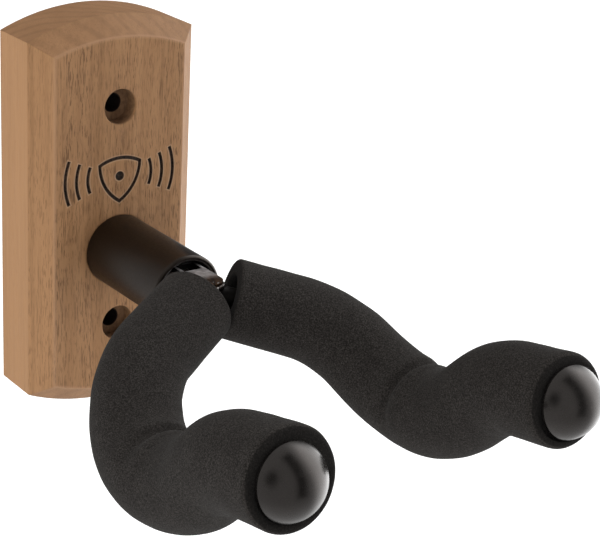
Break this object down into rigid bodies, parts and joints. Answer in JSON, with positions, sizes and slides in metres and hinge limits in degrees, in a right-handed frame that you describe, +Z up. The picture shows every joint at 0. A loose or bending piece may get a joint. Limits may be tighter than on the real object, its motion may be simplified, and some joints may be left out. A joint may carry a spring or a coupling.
{
  "type": "wall guitar hanger",
  "caption": "Wooden wall block with a steel standoff tube and a foam-padded two-arm yoke that swivels about the tube to hold a guitar by its headstock.",
  "frame": {"origin": "middle of the wood block's back face, where it rests on the wall", "axes": "+Z up, the hanger stands out from the wall towards -Y, +X to the right seen from the room"},
  "size_m": [0.1024, 0.1693, 0.113],
  "materials": {
    "walnut": "oiled, open grain",
    "tube_paint": "satin dark bronze powder coat",
    "black_steel": "satin black",
    "zinc_steel": "zinc plated",
    "black_nylon": "matte moulded",
    "white_nylon": "natural nylon",
    "blue_nylon": "matte",
    "foam": "fine closed-cell foam",
    "cap_plastic": "glossy black"
  },
  "bodies": {
    "wall_bracket": {"wood_block": "walnut", "standoff_tube": "tube_paint", "front_bush": "black_nylon", "rear_bush": "black_nylon", "back_washer": "zinc_steel", "rear_thrust_washer": "white_nylon", "front_thrust_washer": "white_nylon"},
    "yoke": {"swivel_bolt": "black_steel", "spring_washer": "zinc_steel", "nut_washer": "zinc_steel", "lock_nut": "zinc_steel", "nut_insert": "blue_nylon", "yoke_bracket": "black_steel", "yoke_rod": "black_steel", "left_foam_sleeve": "foam", "right_foam_sleeve": "foam", "left_push_nut": "zinc_steel", "right_push_nut": "zinc_steel", "left_end_cap": "cap_plastic", "right_end_cap": "cap_plastic"}
  },
  "joints": [
    {"name": "yoke_swivel", "type": "hinge", "parent": "wall_bracket", "child": "yoke", "pos_m": [0, -0.0575, -0.0096], "axis": [0, -1, 0], "continuous": true}
  ]
}
